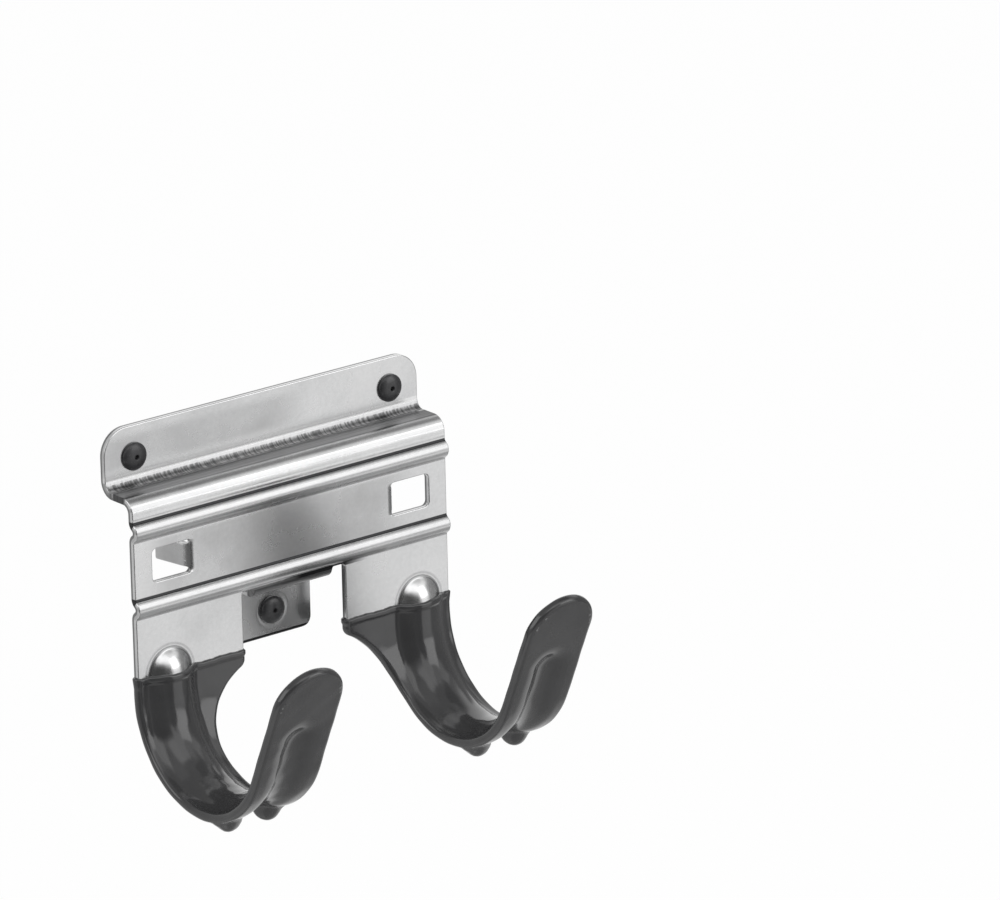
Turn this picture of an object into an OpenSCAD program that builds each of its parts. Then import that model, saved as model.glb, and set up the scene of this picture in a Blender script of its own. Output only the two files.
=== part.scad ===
// Garage utility hook: one pressed steel sheet with two ribbed J-hooks in a dipped coating,
// and three moulded bushes in its screw holes.
// Origin: on the wall plane, midway between the two upper screw holes.
// X runs to the right of someone who faces the wall, Y runs into the wall, Z is up.

/* [Sheet] */
// Width of the plate and the flange
plate_w = 100; // [96:1:112]
// Thickness of the steel sheet
sheet_t = 1.9; // [1.6:0.1:2.1]
// Gap between the wall and the back of the plate
standoff = 11.2; // [10:0.1:13]

/* [Flange and shelf] */
// Height of the flange's top edge above the upper screw holes
flange_rise = 8.2; // [7:0.1:12]
// Radius of the flange's top corners
flange_corner_r = 7; // [4:0.5:9]
// Depth of the shelf's top face below the upper screw holes
shelf_drop = 7.2; // [7:0.1:7.8]
// Inside radius of the bend between the flange and the shelf
flange_bend_r = 2.4; // [1.5:0.1:2.6]
// Inside radius of the bend between the shelf and the plate
shelf_bend_r = 2; // [1.5:0.1:2.5]

/* [Beads] */
// Width of each bead from foot to foot
bead_w = 5.8; // [5.4:0.1:6.2]
// Height of each bead above the plate
bead_h = 1.6; // [1.2:0.1:1.9]
// Inside radius at the foot of a bead
bead_foot_r = 0.9; // [0.6:0.1:1.1]
// Depth of the upper bead's middle below the upper screw holes
upper_bead_drop = 15.8; // [15.6:0.1:16.6]
// Depth of the lower bead's middle below the upper screw holes
lower_bead_drop = 36.3; // [35.5:0.1:36.4]

/* [Windows and wall feet] */
// Width of each window
window_w = 13.6; // [12.8:0.1:14.4]
// Height of each window
window_h = 8.9; // [8:0.1:10]
// Distance of each window's middle from the plate's side edge
window_inset = 12.5; // [11.5:0.5:14]
// Depth of the windows' middle below the upper screw holes
window_drop = 25.7; // [24.5:0.1:27]
// Radius of the windows' corners
window_corner_r = 1.4; // [0.8:0.1:2]
// Slot left above and below each foot where it is cut free
lance_gap = 1.4; // [1:0.1:1.9]
// Inside radius of each foot's bend
foot_bend_r = 1; // [0.6:0.1:1.4]
// Angle through which each foot is bent towards the wall
foot_turn = 80; // [76:1:88]
// Gap between the end of each foot and the wall
foot_gap = 0.2; // [0.1:0.1:0.6]

/* [Notch and lower tab] */
// Width of the notch between the legs
notch_w = 33.2; // [30:0.2:36]
// Depth of the notch's top below the upper screw holes
notch_drop = 39.3; // [39.3:0.1:41]
// Width of the lower tab
tab_w = 25; // [22:0.5:27]
// Depth of the lower tab's end below the upper screw holes
tab_end_drop = 57.8; // [56.5:0.1:59]
// Inside radius of the lower tab's two bends
tab_bend_r = 1; // [0.8:0.1:1.4]
// Gap between the wall and the back of the lower tab
tab_standoff = 1.4; // [0.5:0.1:2]
// Radius of the lower tab's bottom corners
tab_corner_r = 3; // [1.5:0.5:5]

/* [Screw holes and bushes] */
// Distance of each upper screw hole's middle from the plate's side edge
hole_inset = 9.15; // [8.5:0.05:11]
// Depth of the lower screw hole below the upper ones
lower_hole_drop = 50.4; // [49.5:0.1:51.5]
// Diameter of each screw hole in the sheet
hole_d = 6; // [5.2:0.1:6.4]
// Diameter of a bush's head
bush_head_d = 7.4; // [7.2:0.1:8.2]
// Height of a bush's head above the sheet
bush_head_h = 1.6; // [1:0.1:1.8]
// Diameter of the screw hole through a bush
bush_bore_d = 2.2; // [1.8:0.1:3]
// Depth of the dish in a bush's head
bush_dish_h = 0.6; // [0.3:0.1:0.8]
// Gap between the back of a bush and the back of the sheet
bush_back_gap = 0.1; // [0.1:0.1:0.3]

/* [Hooks] */
// Width of each hook's strap
strap_w = 20; // [19:0.5:22]
// Radius of each hook's bend, to the middle of the sheet
hook_r = 25.3; // [23:0.1:28]
// Angle through which each hook turns
hook_turn = 156; // [145:1:165]
// Straight stretch of each leg below the coating's edge
leg_straight = 4; // [3:0.5:8]
// Straight length of each hook's lip from the bend to its tip
lip_l = 34; // [32:0.5:40]
// Drop from the coating's edge to the start of the leg's inner shoulder
shoulder_start = 3.5; // [3:0.1:6]
// Turn of the hook at which the inner shoulder has narrowed to the strap
shoulder_turn = 58.5; // [50:0.5:68]
// Radius of the corner above the inner shoulder
shoulder_corner_r = 2.2; // [1.5:0.1:3]

/* [Stiffening ribs] */
// Width of each rib from foot to foot
rib_w = 13.8; // [13:0.1:14.6]
// Height of each rib above the sheet
rib_h = 3.2; // [2.8:0.1:3.6]
// Inside radius at the foot of a rib
rib_foot_r = 1.3; // [1.1:0.1:1.6]
// Length of the rib on the lip, from the bend to the middle of its round end
rib_lip_l = 11.7; // [8:0.1:14]

/* [Coating] */
// Depth of the coating's edge below the upper screw holes
coat_drop = 55; // [54:0.1:58]
// Thickness of the coating
coat_t = 0.4; // [0.3:0.05:0.5]
// Radius of the coating round the strap's edges
coat_edge_r = 0.9; // [0.6:0.1:1.1]
// Height of the thicker band at the coating's edge
coat_band_h = 1.2; // [0.8:0.1:2]
// How far that band stands out of the coating
coat_band_t = 0.3; // [0.2:0.05:0.5]
// Radius of the two pips under each hook
pip_r = 3.3; // [2.5:0.1:3.6]
// Distance of each pip from the middle of the strap
pip_x = 6.3; // [5.8:0.1:6.6]
// Turn of the hook at which the pips sit
pip_turn = 104.5; // [95:0.5:115]

/* [Hidden] */

// Overrun of every cut
cut = 1;
// Steps along a small bend, a crown and a wide arc
bend_steps = 8;
foot_steps = 4;
crown_steps = 10;
arc_steps = 14;
// Smoothness of the turned shapes
turned_fn = 96;
// Turn by which two pieces of one bend overlap, and the step between their faces
lap_turn = 4;
lap_step = 0.01;
// Grain of the cross-sections' corners, so that pieces which meet have the same ones
grain = 0.0001;

half_t = sheet_t / 2;
plate_mid = standoff + half_t;
window_x = plate_w / 2 - window_inset;
hole_pitch = plate_w - 2 * hole_inset;
hook_x = (plate_w - strap_w) / 2;
hook_y = -plate_mid - hook_r;
hook_z = -coat_drop - leg_straight;

steel_colour = [0.74, 0.75, 0.76];
coat_colour = [0.2, 0.2, 0.21];
bush_colour = [0.13, 0.13, 0.14];

// A path is a list of [y, z, normal y, normal z] along the middle of the sheet,
// where the normal points out of the sheet's front face.

// Points of an arc about a centre; side 1 keeps the front face outside, -1 inside
function arc_path(centre, r, from, to, side, steps) = [
    for (i = [0:steps])
        let (a = from + (to - from) * i / steps)
        [centre.x + r * cos(a), centre.y + r * sin(a), side * cos(a), side * sin(a)]
];

function front_face(path, d) = [for (p = path) [p[0] + d * p[2], p[1] + d * p[3]]];

function reversed(list) = [for (i = [len(list) - 1:-1:0]) list[i]];

function sheet_outline(path) = concat(front_face(path, half_t), reversed(front_face(path, -half_t)));

// Half angle and middle radius of a crown with two feet, from its width and height
function crown_angle(w, h) = 2 * atan(h / (w / 2));
function crown_radius(w, h, foot) = w / 2 / sin(crown_angle(w, h)) - foot;

// A bead in the plate, from its upper foot to its lower one
function bead_path(drop) =
    let (
        foot = bead_foot_r + half_t,
        a = crown_angle(bead_w, bead_h),
        r = crown_radius(bead_w, bead_h, foot)
    )
    concat(
        arc_path([-plate_mid - foot, -drop + bead_w / 2], foot, 0, -a, -1, foot_steps),
        arc_path([-plate_mid - bead_h + r, -drop], r, 180 - a, 180 + a, 1, crown_steps),
        arc_path([-plate_mid - foot, -drop - bead_w / 2], foot, a, 0, -1, foot_steps)
    );

// The sheet from the flange's top edge down to a given depth
function plate_path(bottom) =
    let (
        upper = flange_bend_r + half_t,
        lower = shelf_bend_r + half_t,
        shelf = -shelf_drop - half_t
    )
    concat(
        [[-half_t, flange_rise, -1, 0]],
        arc_path([-half_t - upper, shelf + upper], upper, 0, -90, -1, bend_steps),
        arc_path([-plate_mid + lower, shelf - lower], lower, 90, 180, 1, bend_steps),
        bead_path(upper_bead_drop),
        bead_path(lower_bead_drop),
        [[-plate_mid, -bottom, -1, 0]]
    );

// The lower tab, bent back from the plate and then down
function tab_path() =
    let (
        r = tab_bend_r + half_t,
        tab_mid = tab_standoff + half_t,
        shelf = -notch_drop - r
    )
    concat(
        arc_path([-plate_mid + r, -notch_drop], r, 180, 270, 1, bend_steps),
        arc_path([-tab_mid - r, shelf - r], r, 90, 0, -1, bend_steps),
        [[-tab_mid, -tab_end_drop, -1, 0]]
    );

function arc_points(centre, r, from, to, steps) = [
    for (i = [0:steps])
        let (a = from + (to - from) * i / steps)
        centre + r * [cos(a), sin(a)]
];

function round_rect(w, h, r) = concat(
    arc_points([w / 2 - r, h / 2 - r], r, 0, 90, foot_steps),
    arc_points([r - w / 2, h / 2 - r], r, 90, 180, foot_steps),
    arc_points([r - w / 2, r - h / 2], r, 180, 270, foot_steps),
    arc_points([w / 2 - r, r - h / 2], r, 270, 360, foot_steps)
);

function on_grain(points) = [for (p = points) [round(p.x / grain) * grain, round(p.y / grain) * grain]];

// Turns a shape drawn in (y, z) and raised along z into one that runs along X
module along_x() {
    rotate([90, 0, 90]) children();
}

// Turns a shape drawn in (x, z) and raised along z into one that runs from -Y to +Y
module along_y(from, to) {
    translate([0, to, 0])
        rotate([90, 0, 0])
            linear_extrude(height = to - from) children();
}

module mirrored_pair() {
    children();
    mirror([1, 0, 0]) children();
}

// The rib's surface at a distance from the middle of the sheet, from x = +w/2 to -w/2:
// d is positive on the crown's side and negative on the groove's side
function rib_side(d) =
    let (
        foot = rib_foot_r + half_t,
        a = crown_angle(rib_w, rib_h),
        r = crown_radius(rib_w, rib_h, foot)
    )
    concat(
        arc_points([rib_w / 2, foot], foot - d, 270, 270 - a, foot_steps),
        arc_points([0, rib_h - r], r + d, 90 - a, 90 + a, crown_steps),
        arc_points([-rib_w / 2, foot], foot - d, 270 + a, 270, foot_steps)
    );

// Cross-section of a strap in (x, v), v towards the inside of the hook;
// grow thickens it all round, and the coating's edges are rounded
function outer_edge(outer, grow) =
    let (x = outer + grow, d = half_t + grow, r = coat_edge_r)
    grow < coat_t ? [[x, -d], [x, d]] : concat(
        arc_points([x - r, r - d], r, 270, 360, foot_steps),
        arc_points([x - r, d - r], r, 0, 90, foot_steps)
    );

function inner_edge(inner, grow) = reversed([for (p = outer_edge(-inner, grow)) [-p.x, p.y]]);

function strap_section(inner, outer, grow) =
    let (d = half_t + grow)
    on_grain(concat(outer_edge(outer, grow), rib_side(d), inner_edge(inner, grow), reversed(rib_side(-d))));

function flat_section(grow) =
    on_grain(concat(outer_edge(strap_w / 2, grow), inner_edge(-strap_w / 2, grow)));

// Half of the rib's cross-section, out to a rim in the flat sheet beside it
rib_rim = (rib_w + strap_w) / 4;

function half_rib_section(grow) =
    let (d = half_t + grow)
    on_grain(concat(
        [[rib_rim, d]],
        [for (p = rib_side(d)) if (p.x >= 0) p],
        reversed([for (p = rib_side(-d)) if (p.x >= 0) p]),
        [[rib_rim, -d]]
    ));

// The round end of a rib in a flat stretch of sheet, bulging along +z from the plane z = 0
module rib_end(grow) {
    rotate_extrude(angle = 180, $fn = turned_fn) polygon(half_rib_section(grow));
}

// The disc of flat sheet that the round end of a rib takes the place of
module rib_end_disc() {
    cylinder(r = (rib_w / 2 + rib_rim) / 2, h = sheet_t + coat_t + cut, center = true, $fn = turned_fn);
}

// A bend of the strap about the X axis, between two turns
module strap_bend(from, to, section) {
    along_x()
        rotate_extrude(angle = to - from, start = -to, $fn = turned_fn)
            polygon([for (p = section) [hook_r - p.y, p.x]]);
}

// Outline of a leg in (x, z), with its inner shoulder
function leg_outline(grow) =
    let (
        strap_in = hook_x - strap_w / 2,
        notch_in = notch_w / 2,
        end_z = hook_z - (hook_r - half_t - coat_t) * sin(shoulder_turn),
        rise = -coat_drop - shoulder_start - end_z,
        run = strap_in - notch_in,
        r = (run * run + rise * rise) / (2 * run),
        centre = [strap_in - r, end_z],
        corner_x = notch_in + shoulder_corner_r,
        reach = r + shoulder_corner_r,
        off = corner_x - centre.x,
        corner = [corner_x, end_z + sqrt(reach * reach - off * off)],
        meet = atan2(corner.y - centre.y, corner.x - centre.x)
    )
    concat(
        [[plate_w / 2 + grow + cut, -notch_drop], [notch_in - grow, -notch_drop]],
        arc_points(corner, shoulder_corner_r + grow, 180, 180 + meet, foot_steps),
        arc_points(centre, r - grow, meet, 0, arc_steps),
        [[strap_in - grow, end_z - hook_r], [plate_w / 2 + grow + cut, end_z - hook_r]]
    );

// The leg from the coating's edge into the bend, cut to its inner shoulder
module leg(grow, rise) {
    section = strap_section(notch_w / 2 - hook_x - cut, strap_w / 2, grow);
    intersection() {
        translate([hook_x, 0, hook_z]) {
            translate([0, -plate_mid, 0])
                linear_extrude(height = leg_straight + rise)
                    polygon([for (p = section) [p.x, -p.y]]);
            translate([0, hook_y, 0]) strap_bend(0, shoulder_turn, section);
        }
        along_y(hook_y - hook_r, 0) polygon(leg_outline(grow));
    }
}

// The straight lip beyond the bend, with the round end of the rib and a round tip,
// drawn along +z in front of the plane y = 0
module lip(grow) {
    section = strap_section(-strap_w / 2, strap_w / 2, grow);
    flat = flat_section(grow);
    flat_l = lip_l - strap_w / 2 - rib_lip_l;
    linear_extrude(height = rib_lip_l) polygon(section);
    translate([0, 0, rib_lip_l]) {
        rotate([-90, 0, 0]) mirror([0, 1, 0]) rib_end(grow);
        difference() {
            linear_extrude(height = flat_l) polygon(flat);
            rotate([90, 0, 0]) rib_end_disc();
        }
        translate([0, 0, flat_l])
            rotate([90, 0, 0])
                rotate_extrude(angle = 180, $fn = turned_fn)
                    polygon(on_grain(concat([[0, -half_t - grow]], outer_edge(strap_w / 2, grow), [[0, half_t + grow]])));
    }
}

// One hook of the right-hand side, from the coating's edge to the tip
module hook_body(grow, rise) {
    lip_grow = grow + lap_step;
    leg(grow, rise);
    translate([hook_x, hook_y, hook_z]) {
        strap_bend(shoulder_turn, hook_turn - lap_turn, strap_section(-strap_w / 2, strap_w / 2, grow));
        rotate([-hook_turn, 0, 0]) {
            strap_bend(-lap_turn - lap_turn, 0, strap_section(-strap_w / 2, strap_w / 2, lip_grow));
            translate([0, hook_r, 0]) rotate([180, 0, 0]) lip(lip_grow);
        }
    }
}

module screw_hole(x, z) {
    translate([x, cut, z])
        rotate([90, 0, 0])
            cylinder(d = hole_d, h = standoff / 2 + cut, $fn = turned_fn);
}

// Front outline of the plate in (x, z): round top corners, and the notch between the legs
function plate_outline() =
    let (
        top = [plate_w / 2 - flange_corner_r, flange_rise - flange_corner_r],
        bottom = -coat_drop
    )
    concat(
        arc_points(top, flange_corner_r, 0, 90, bend_steps),
        arc_points([-top.x, top.y], flange_corner_r, 90, 180, bend_steps),
        [[-plate_w / 2, bottom], [-notch_w / 2, bottom], [-notch_w / 2, -notch_drop],
         [notch_w / 2, -notch_drop], [notch_w / 2, bottom], [plate_w / 2, bottom]]
    );

module plate() {
    difference() {
        intersection() {
            along_x()
                linear_extrude(height = plate_w + cut, center = true)
                    polygon(sheet_outline(plate_path(coat_drop)));
            along_y(-plate_mid - bead_h - cut, cut) polygon(plate_outline());
        }
        mirrored_pair() {
            translate([window_x, 0, -window_drop])
                along_y(-standoff - sheet_t - cut, -standoff + cut)
                    polygon(round_rect(window_w, window_h, window_corner_r));
            screw_hole(hole_pitch / 2, 0);
            translate([hook_x, -plate_mid, -coat_drop])
                rotate([90, 0, 0]) rib_end_disc();
        }
    }
}

// A foot cut free inside a window and bent to the wall, hinged at the window's inner side
module wall_foot() {
    foot_h = window_h - 2 * lance_gap;
    reach = standoff - foot_gap - foot_bend_r - half_t;
    foot_l = reach / sin(foot_turn);
    translate([window_x - window_w / 2, -standoff + foot_bend_r, -window_drop - foot_h / 2]) {
        translate([-cut, -foot_bend_r - sheet_t, 0]) cube([cut, sheet_t, foot_h]);
        foot_bend(-90, foot_turn - lap_turn, foot_h, 0);
        rotate([0, 0, foot_turn - 90]) {
            foot_bend(-lap_turn - lap_turn, lap_turn + lap_turn, foot_h, lap_step);
            translate([foot_bend_r - lap_step, 0, -lap_step])
                cube([sheet_t + 2 * lap_step, foot_l, foot_h + 2 * lap_step]);
        }
    }
}

module foot_bend(start, turn, foot_h, grow) {
    rotate_extrude(angle = turn, start = start, $fn = turned_fn)
        translate([foot_bend_r - grow, -grow]) square([sheet_t + 2 * grow, foot_h + 2 * grow]);
}

module lower_tab() {
    outline = concat(
        arc_points([tab_w / 2 - tab_corner_r, tab_corner_r - tab_end_drop], tab_corner_r, 0, -90, bend_steps),
        arc_points([tab_corner_r - tab_w / 2, tab_corner_r - tab_end_drop], tab_corner_r, -90, -180, bend_steps),
        [[-tab_w / 2, cut - notch_drop], [tab_w / 2, cut - notch_drop]]
    );
    difference() {
        intersection() {
            along_x()
                linear_extrude(height = tab_w + cut, center = true)
                    polygon(sheet_outline(tab_path()));
            along_y(-plate_mid - cut, cut) polygon(outline);
        }
        screw_hole(0, -lower_hole_drop);
    }
}

module bracket() {
    color(steel_colour)
        union() {
            plate();
            lower_tab();
            mirrored_pair() {
                wall_foot();
                translate([hook_x, -plate_mid, -coat_drop])
                    rotate([90, 0, 0]) rib_end(0);
                hook_body(0, 0);
            }
        }
}

// Two round pips under the bend, on the outer face only
module pips() {
    r = hook_r + half_t + coat_t;
    translate([hook_x, hook_y, hook_z])
        difference() {
            for (side = [-1, 1])
                translate([side * pip_x, r * cos(pip_turn), -r * sin(pip_turn)])
                    sphere(r = pip_r, $fn = turned_fn);
            rotate([0, 90, 0])
                cylinder(r = hook_r - half_t, h = strap_w, center = true, $fn = turned_fn);
        }
}

// The thicker band at the coating's upper edge
module coat_band() {
    grow = coat_t + coat_band_t;
    intersection() {
        leg(grow, 0);
        translate([0, hook_y, -coat_drop - coat_band_h])
            cube([plate_w, -hook_y, coat_band_h]);
    }
}

module hook_coating() {
    color(coat_colour)
        difference() {
            union() {
                hook_body(coat_t, 0);
                coat_band();
                pips();
            }
            hook_body(0, cut);
        }
}

// A bush pressed into a screw hole, in its own frame: z = 0 at the back of the sheet, head up
module bush() {
    head_r = bush_head_d / 2;
    bore_r = bush_bore_d / 2;
    top = sheet_t + bush_head_h;
    edge_r = bush_head_h / 2;
    dish_r = (head_r - edge_r + bore_r) / 2 + edge_r / 2;
    color(bush_colour)
        rotate_extrude($fn = turned_fn)
            polygon(concat(
                [[bore_r, bush_back_gap], [hole_d / 2, bush_back_gap], [hole_d / 2, sheet_t], [head_r, sheet_t]],
                arc_points([head_r - edge_r, top - edge_r], edge_r, 0, 90, foot_steps),
                [[dish_r, top], [bore_r, top - bush_dish_h]]
            ));
}

module placed_bush(x, y, z) {
    translate([x, y, z])
        rotate([90, 0, 0]) bush();
}

module left_hook_coating() { mirror([1, 0, 0]) hook_coating(); }
module right_hook_coating() { hook_coating(); }
module upper_left_bush() { placed_bush(-hole_pitch / 2, 0, 0); }
module upper_right_bush() { placed_bush(hole_pitch / 2, 0, 0); }
module lower_bush() { placed_bush(0, -tab_standoff, -lower_hole_drop); }

bracket();
left_hook_coating();
right_hook_coating();
upper_left_bush();
upper_right_bush();
lower_bush();
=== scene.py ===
import math

import bmesh
import bpy
import numpy as np
from mathutils import Matrix, Vector
from mathutils.geometry import delaunay_2d_cdt


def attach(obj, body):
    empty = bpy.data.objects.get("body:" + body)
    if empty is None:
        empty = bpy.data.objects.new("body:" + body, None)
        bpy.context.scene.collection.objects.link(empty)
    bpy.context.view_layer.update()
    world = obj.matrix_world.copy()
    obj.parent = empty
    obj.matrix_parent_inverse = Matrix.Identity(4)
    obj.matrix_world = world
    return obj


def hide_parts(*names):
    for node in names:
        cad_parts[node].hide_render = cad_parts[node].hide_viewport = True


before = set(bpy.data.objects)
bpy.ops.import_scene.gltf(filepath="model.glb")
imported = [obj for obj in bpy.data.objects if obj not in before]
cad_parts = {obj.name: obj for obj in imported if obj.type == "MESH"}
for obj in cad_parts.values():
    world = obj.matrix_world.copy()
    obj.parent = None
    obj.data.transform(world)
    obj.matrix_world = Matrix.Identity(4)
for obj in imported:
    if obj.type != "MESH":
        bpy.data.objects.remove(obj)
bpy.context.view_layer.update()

MM = 0.001
TINY = 1e-9

# Sizes of the part's source, in millimetres, with its angles turned into radians
PLATE_W, SHEET_T, STANDOFF = 100.0, 1.9, 11.2
FLANGE_RISE, FLANGE_CORNER_R, SHELF_DROP, FLANGE_BEND_R, SHELF_BEND_R = 8.2, 7.0, 7.2, 2.4, 2.0
BEAD_W, BEAD_H, BEAD_FOOT_R, BEAD_DROPS = 5.8, 1.6, 0.9, (15.8, 36.3)
WINDOW_W, WINDOW_H, WINDOW_X, WINDOW_DROP, WINDOW_CORNER_R = 13.6, 8.9, 37.5, 25.7, 1.4
LANCE_GAP, FOOT_BEND_R, FOOT_TURN, FOOT_GAP = 1.4, 1.0, math.radians(80), 0.2
NOTCH_W, NOTCH_DROP = 33.2, 39.3
TAB_W, TAB_END_DROP, TAB_BEND_R, TAB_STANDOFF, TAB_CORNER_R = 25.0, 57.8, 1.0, 1.4, 3.0
HOLE_PITCH, LOWER_HOLE_DROP, HOLE_D = 81.7, 50.4, 6.0
STRAP_W, HOOK_R, HOOK_TURN, LEG_STRAIGHT, LIP_L = 20.0, 25.3, math.radians(156), 4.0, 34.0
SHOULDER_START, SHOULDER_TURN, SHOULDER_CORNER_R = 3.5, math.radians(58.5), 2.2
RIB_W, RIB_H, RIB_FOOT_R, RIB_LIP_L = 13.8, 3.2, 1.3, 11.7
COAT_DROP, COAT_T, COAT_BAND_T = 55.0, 0.4, 0.3
PIP_X, PIP_TURN = 6.3, math.radians(104.5)
BUSH_HEAD_D, BUSH_HEAD_H = 7.4, 1.6

# Sizes that the part's source doesn't state, or that the scene draws differently
DIMPLE_H, DIMPLE_R, DIMPLE_EASE = 0.12, 5.3, 1.6
ROLL_R, SHEET_EDGE_R, COAT_EDGE_R = 1.0, 0.28, 1.12
NOTCH_CORNER_R, TAB_FOOT_R, WINDOW_FOLD = 0.9, 0.5, 1.5
PINHOLE_R, DRIP_H, DRIP_R = 0.5, 3.0, 4.1

# The sheet's texture coordinates: millimetres in one unit, and the blank's origin in millimetres
UV_SPAN, UV_ORIGIN = 200.0, (100, 10)

HALF_T = SHEET_T / 2
PLATE_MID = STANDOFF + HALF_T
HOOK_X = (PLATE_W - STRAP_W) / 2
HOOK_Z = -COAT_DROP - LEG_STRAIGHT
HINGE_X = WINDOW_X - WINDOW_W / 2
FOOT_R = FOOT_BEND_R + HALF_T
TAB_MID = TAB_STANDOFF + HALF_T
COAT_HALF_T = HALF_T + COAT_T


# The bent sheet
class Path:
    """The middle of the sheet in the (y, z) plane: stretches of (length, turn), walked down from a start."""

    def __init__(self, start, stretches):
        self.s = [0.0]
        self.at = [(start[0], start[1], -math.pi / 2)]
        self.turn = []
        for length, turn in stretches:
            y, z, a = self.at[-1]
            if turn:
                r = length / turn
                y += r * (math.sin(a + turn) - math.sin(a))
                z -= r * (math.cos(a + turn) - math.cos(a))
            else:
                y, z = y + length * math.cos(a), z + length * math.sin(a)
            self.turn.append(turn / length)
            self.at.append((y, z, a + turn))
            self.s.append(self.s[-1] + length)
        self.s = np.array(self.s)
        self.turn = np.array(self.turn)
        self.start = np.array(self.at[:-1])

    def __call__(self, s):
        """Place and direction in (y, z) at the distances s along the path."""
        i = np.clip(np.searchsorted(self.s, s, side="right") - 1, 0, len(self.turn) - 1)
        d, k = s - self.s[i], self.turn[i]
        y, z, a = self.start[i].T
        b = a + k * d
        straight = np.abs(k) < TINY
        safe = np.where(straight, 1.0, k)
        y1 = np.where(straight, y + d * np.cos(a), y + (np.sin(b) - np.sin(a)) / safe)
        z1 = np.where(straight, z + d * np.sin(a), z - (np.cos(b) - np.cos(a)) / safe)
        return y1, z1, np.cos(b), np.sin(b)

    def stations(self, flat, angle):
        """Places along the path: every flat mm where it is straight, every angle where it bends."""
        out = [0.0]
        for i, k in enumerate(self.turn):
            length = self.s[i + 1] - self.s[i]
            n = max(1, math.ceil(length / flat), math.ceil(abs(k) * length / angle))
            out += [self.s[i] + length * (j + 1) / n for j in range(n)]
        return np.array(out)


def crown(width, height, foot):
    """A round top between two foot arcs: the turn of each foot and the radius of the top."""
    a = 2 * math.atan(height / (width / 2))
    return a, width / 2 / math.sin(a) - foot


UPPER_R, LOWER_R = FLANGE_BEND_R + HALF_T, SHELF_BEND_R + HALF_T
SHELF_Z = -SHELF_DROP - HALF_T
BEAD_FOOT = BEAD_FOOT_R + HALF_T
BEAD_A, BEAD_R = crown(BEAD_W, BEAD_H, BEAD_FOOT)
BEAD = [(BEAD_FOOT * BEAD_A, -BEAD_A), (2 * BEAD_R * BEAD_A, 2 * BEAD_A), (BEAD_FOOT * BEAD_A, -BEAD_A)]
plate_path = Path((-HALF_T, FLANGE_RISE), [
    (FLANGE_RISE - SHELF_Z - UPPER_R, 0),
    (UPPER_R * math.pi / 2, -math.pi / 2),
    (PLATE_MID - LOWER_R - HALF_T - UPPER_R, 0),
    (LOWER_R * math.pi / 2, math.pi / 2),
    (SHELF_Z - LOWER_R + BEAD_DROPS[0] - BEAD_W / 2, 0), *BEAD,
    (BEAD_DROPS[1] - BEAD_DROPS[0] - BEAD_W, 0), *BEAD,
    (-HOOK_Z - BEAD_DROPS[1] - BEAD_W / 2, 0),
    (HOOK_R * HOOK_TURN, -HOOK_TURN),
    (LIP_L, 0),
])
S_SHELF0, S_SHELF1 = plate_path.s[1], plate_path.s[4]
S_MID = plate_path.s[8]      # end of the upper bead
S_LEG = plate_path.s[12]     # end of the lower bead
S_BEND = plate_path.s[13]    # start of the hook's bend
S_LIP = plate_path.s[14]     # start of the lip
S_TIP = plate_path.s[15] - STRAP_W / 2


def s_at(z):
    """Place along the sheet of a height between the beads, in the leg or in the bend's first quarter."""
    if z > -BEAD_DROPS[1]:
        return S_MID + (-BEAD_DROPS[0] - BEAD_W / 2 - z)
    if z > HOOK_Z:
        return S_BEND - (z - HOOK_Z)
    return S_BEND + HOOK_R * math.asin((HOOK_Z - z) / HOOK_R)


BEAD_L = S_MID - plate_path.s[5]
S_NOTCH = s_at(-NOTCH_DROP)
tab_path = Path((-PLATE_MID, -NOTCH_DROP), [
    ((TAB_BEND_R + HALF_T) * math.pi / 2, math.pi / 2),
    (PLATE_MID - TAB_MID - 2 * (TAB_BEND_R + HALF_T), 0),
    ((TAB_BEND_R + HALF_T) * math.pi / 2, -math.pi / 2),
    (TAB_END_DROP - NOTCH_DROP - 2 * (TAB_BEND_R + HALF_T), 0),
])
S_TAB_END = S_NOTCH + tab_path.s[-1]
S_TAB_HOLE = S_TAB_END - (TAB_END_DROP - LOWER_HOLE_DROP)
S_DOME = s_at(-COAT_DROP)
S_RIB_END = S_LIP + RIB_LIP_L


def rib_shape(width, height, foot):
    """Half width, foot radius, crown's turn and radius, and height of a rib's cross-section."""
    return (width / 2, foot, *crown(width, height, foot), height)


STEEL_RIB = rib_shape(RIB_W, RIB_H, RIB_FOOT_R + HALF_T)
# The coating fills the rib's foot, most of all on the plate's outer side, and rounds the groove behind it
COAT_RIB_IN, COAT_RIB_OUT = rib_shape(17.2, RIB_H, 5.2), rib_shape(18.8, RIB_H, 6.6)
LEG_GROOVE, LIP_GROOVE = rib_shape(14.4, RIB_H - 0.7, 4.0), rib_shape(15.2, RIB_H - 1.4, 7.5)

# The windows and the feet bent out of them, along the sheet and in x
WINDOW_TOP, WINDOW_BOTTOM = s_at(-WINDOW_DROP + WINDOW_H / 2), s_at(-WINDOW_DROP - WINDOW_H / 2)
FOOT_TOP, FOOT_BOTTOM = WINDOW_TOP + LANCE_GAP, WINDOW_BOTTOM - LANCE_GAP
FOOT_ARC = FOOT_R * FOOT_TURN
FOOT_END = HINGE_X + FOOT_ARC + (STANDOFF - FOOT_GAP - FOOT_BEND_R - HALF_T) / math.sin(FOOT_TURN)
FOLD_X = HINGE_X + WINDOW_FOLD


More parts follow.
